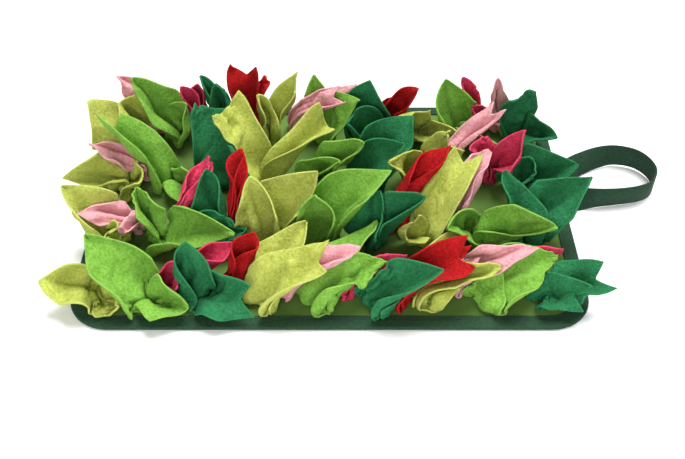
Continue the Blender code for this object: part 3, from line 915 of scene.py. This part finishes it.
def cut_size(rows):
    """Width, length and area of a strip's cloth laid flat, from the lengths held while it is let out."""
    steps = np.linalg.norm(np.diff(rows, axis=0), axis=2).mean(axis=1)
    widths = np.linalg.norm(np.diff(rows, axis=1), axis=2).sum(axis=1)
    area = (steps * 0.5 * (widths[1:] + widths[:-1])).sum()
    return float(widths.max()), float(steps.sum()), float(area)


def limited(moves, furthest):
    """Moves, none longer than the furthest."""
    far = np.linalg.norm(moves, axis=-1, keepdims=True).clip(1e-9)
    return moves * np.minimum(1.0, furthest / far)


def let_out(strips, fixed):
    """The strips' points once let out, how far each is from the cut edge, and the size each was cut to."""
    wanted = [cut_strip(strip, FIRST_SEED + k) for k, strip in enumerate(strips)]
    now = np.array([joined(planned_leaf(strip, 0), planned_leaf(strip, 1)) for strip in strips])
    goal = np.array([grid for grid, _, _ in wanted])
    flat = np.array([flat for _, flat, _ in wanted])
    above = np.logaddexp(0.0, (goal[..., 2] - lowest(goal)) / SOFT_LANDING)
    goal[..., 2] = lowest(goal) + SOFT_LANDING * above
    strip_of = np.repeat(np.arange(len(strips)), now[0, ..., 0].size)
    strip_of = np.concatenate([strip_of, np.full(len(fixed), -1)])
    flat_of = np.concatenate([flat.reshape(-1, 2), np.zeros((len(fixed), 2))])
    inner = np.full(now.shape[:3], 1.0)
    inner[:, [0, -1]] = RIM_SHARE
    inner[:, :, [0, -1]] = RIM_SHARE
    rim_share = np.append(inner, np.ones(len(fixed)))
    pressed, backed_off = np.zeros((2,) + now.shape[:3] + (1,))
    plan = now.copy()
    loose = now[..., 0].size
    lengths = []
    for down, over, _ in LINKS:
        here, there = ends_of(now, down, over)
        lengths.append([np.linalg.norm(rows[there] - rows[here], axis=-1) for rows in (now, goal)])
    for step in range(LET_OUT_STEPS):
        grown = min(1.0, (step + 1) / (GROWN_AFTER * LET_OUT_STEPS))
        pull = (PULL_GROWING if grown < 1.0 else PULL_GROWN) / (1.0 + (pressed / YIELDS_AT) ** 2)
        before = now.copy()
        if step % CROSSED_EVERY == CROSSED_EVERY - 1:
            backed_off = np.minimum(1.0, backed_off + BACK_OFF * crossed(now)[..., None])
        pull = np.maximum(pull, PULL_BACK * backed_off)
        now = now + (goal + (plan - goal) * backed_off - now) * pull
        for _ in range(2):
            moved = np.zeros_like(now)
            weight = np.zeros(now.shape[:3] + (1,))
            for (down, over, stiff), (short, long) in zip(LINKS, lengths):
                here, there = ends_of(now, down, over)
                span = now[there] - now[here]
                length = np.linalg.norm(span, axis=-1, keepdims=True).clip(1e-6)
                rest = (short + (long - short) * grown)[..., None]
                push = span * (0.5 * stiff * (1.0 - rest / length))
                moved[here] += push
                moved[there] -= push
                weight[here] += stiff
                weight[there] += stiff
            now = now + moved / weight.clip(0.5) * OVERSHOOT
        now = before + limited(now - before, 0.8 * FURTHEST_STEP)
        points = np.concatenate([now.reshape(-1, 3), fixed])
        faces = np.cross(np.gradient(now, axis=1), np.gradient(now, axis=2))
        faces = (faces / np.linalg.norm(faces, axis=-1, keepdims=True).clip(1e-9)).reshape(-1, 3)
        faces = np.concatenate([faces, np.zeros((len(fixed), 3))])
        if step % 2 == 0:
            a, b = close_pairs(points, NEAR + FURTHER)
            same = strip_of[a] == strip_of[b]
            alongside = ((flat_of[a] - flat_of[b]) ** 2).sum(1) < (SAME_PATCH * NEAR) ** 2
            keep = ~(same & alongside) & ~(same & (strip_of[a] < 0))
            a, b = a[keep], b[keep]
        for _ in range(3):
            span = points[b] - points[a]
            square = (span**2).sum(1)
            push = 0.0
            for own in (a, b):
                height = (span * faces[own]).sum(1)
                sideways = np.sqrt((square - height**2).clip(0))
                short_by = (APART - np.abs(height)).clip(0) * ((NEAR - sideways) / FADE).clip(0, 1)
                push = push + faces[own] * (0.25 * rim_share[own] * np.sign(height) * short_by)[:, None]
            total = len(points)
            moved = [np.bincount(b, way, total) - np.bincount(a, way, total) for way in push.T]
            moved = np.stack(moved, 1)
            touched = np.bincount(a, minlength=total) + np.bincount(b, minlength=total)
            moved *= PUSH / np.sqrt(touched.clip(1))[:, None]
            points[:loose] += limited(moved, FURTHEST_STEP)[:loose]
        pushed = points[:loose].reshape(now.shape)
        pressed = 0.6 * pressed + 0.4 * np.linalg.norm(pushed - now, axis=-1, keepdims=True)
        now = pushed
        now[..., 2] = np.maximum(now[..., 2], lowest(now))
    return now, [edge for _, _, edge in wanted], [cut_size(rows) for rows in goal]


def finer(count, fine):
    """A matrix that draws a smooth line of more points through a line of points."""
    matrix = np.zeros((fine, count))
    for k, at in enumerate(np.linspace(0.0, count - 1.0, fine)):
        i = min(int(at), count - 2)
        t = at - i
        shares = (
            (-1, -0.5 * t**3 + t**2 - 0.5 * t),
            (0, 1.5 * t**3 - 2.5 * t**2 + 1.0),
            (1, -1.5 * t**3 + 2.0 * t**2 + 0.5 * t),
            (2, 0.5 * t**3 - 0.5 * t**2),
        )
        for offset, share in shares:
            matrix[k, min(max(i + offset, 0), count - 1)] += share
    return matrix


SKIN_ROWS = 99
SKIN_ACROSS = 38
# How far in from its cut edge the cloth is rounded off and by how much, then how far in and how strongly a
# painted sheen makes it paler.
ROUNDED = 1.3
THINNED = 0.55
EDGE_SHEEN_WITHIN = 0.9
EDGE_SHEEN_BY = 0.38


def fleece_piece(strip, rows, edge):
    """One strip as a closed sheet with softly rounded cut edges."""
    down, over = finer(rows.shape[0], SKIN_ROWS), finer(rows.shape[1], SKIN_ACROSS)
    grid = np.einsum("ai,bj,ijk->abk", down, over, rows)
    edge = np.einsum("ai,bj,ij->ab", down, over, edge).clip(0)
    grid[..., 2] = np.maximum(grid[..., 2], lowest(grid) - GAP)
    normal = np.cross(np.gradient(grid, axis=0), np.gradient(grid, axis=1))
    normal /= np.maximum(np.linalg.norm(normal, axis=2, keepdims=True), 1e-9)
    round_off = 1.0 - np.clip(edge / ROUNDED, 0, 1)
    thick = 0.5 * FLEECE * np.sqrt(1.0 - THINNED * round_off**2)
    rows, cols = edge.shape
    thickness = normal * thick[..., None]
    points = np.concatenate([(grid + thickness).reshape(-1, 3), (grid - thickness).reshape(-1, 3)])
    index = np.arange(rows * cols).reshape(rows, cols)
    top = grid_quads(rows, cols)
    under = top[:, ::-1] + rows * cols
    rim = np.concatenate([index[0, :], index[1:, -1], index[-1, -2::-1], index[-2:0:-1, 0]])
    after = np.roll(rim, -1)
    sides = np.stack([rim, after, after + rows * cols, rim + rows * cols], -1)
    faces = np.concatenate([top, under, sides])
    a, b, c, d = (points[faces[:, k]] for k in range(4))
    volume = (a * np.cross(b, c)).sum() + (a * np.cross(c, d)).sum()
    if volume < 0:
        faces = faces[:, ::-1]
    mesh = smooth_mesh("fleece_" + strip["name"], points, faces.tolist(), fleeces[strip["colour"]])
    # Painted sheen: paler towards the cut edge, strongest right at it and gone a little way in.
    edge_sheen = np.tile(np.clip(1.0 - edge / EDGE_SHEEN_WITHIN, 0, 1).reshape(-1) * EDGE_SHEEN_BY, 2)
    mesh.attributes.new("painted_edge_sheen", "FLOAT", "POINT").data.foreach_set("value", edge_sheen.astype(np.float32))
    return placed("fleece_" + strip["name"], mesh)


tape_points = []
for k in range(0, len(route), 2):
    tape_points += loop_points[k * round_tape : (k + 1) * round_tape]
settled, cut_edges, cut_sizes = let_out(strips, np.array(tape_points))
for strip, rows, edge, (wide, long, area) in zip(strips, settled, cut_edges, cut_sizes):
    piece = fleece_piece(strip, rows, edge)
    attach(piece, "root")
    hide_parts(strip["name"])

# --------
# Floor, lights and camera. A floor of white paper under a white sky, one soft lamp high overhead and a
# weaker one in front, and the camera in front of the mat and above it.
FLOOR = 4
LOOKS_DOWN = 44.8
floor_mesh = bpy.data.meshes.new("floor")
corners = [(x * FLOOR, y * FLOOR, 0) for x, y in ((-1, -1), (1, -1), (1, 1), (-1, 1))]
floor_mesh.from_pydata(corners, [], [(0, 1, 2, 3)])
# White paper: matt, no shine.
paper, tree, shader = new_material("white_paper_floor")
set_inputs(tree, shader, Base_Color=linear("F7F7F7"), Roughness=0.9, Specular_IOR_Level=0.0)
floor_mesh.materials.append(paper)
floor = placed("floor", floor_mesh)

world = bpy.data.worlds.new("studio")
bpy.context.scene.world = world
world.use_nodes = True
sky = world.node_tree.nodes["Background"]
set_inputs(world.node_tree, sky, Color=(1.0, 1.0, 1.0, 1.0), Strength=0.31)
for name, kind, place, size, power in (
    ("overhead_softbox", "SUN", (0.25, 0.6, 1.3), 0.7, 5.0),
    ("front_fill", "AREA", (-0.2, -1.5, 0.85), 1.2, 21.0),
):
    lamp = bpy.data.lights.new(name, kind)
    if kind == "SUN":
        lamp.angle = size
    else:
        lamp.shape = "SQUARE"
        lamp.size = size
    lamp.energy = power
    holder = placed(name, lamp)
    holder.location = place
    holder.rotation_euler = (-Vector(place)).to_track_quat("-Z", "Y").to_euler()

camera_data = bpy.data.cameras.new("camera")
camera_data.sensor_width = 36.0
camera_data.lens = 46.83
camera = placed("camera", camera_data)
camera.location = (0.0123, -0.695, 0.655)
camera.rotation_euler = (math.radians(90.0 - LOOKS_DOWN), 0.0, 0.0)
bpy.context.scene.camera = camera
bpy.context.scene.view_settings.view_transform = "Standard"
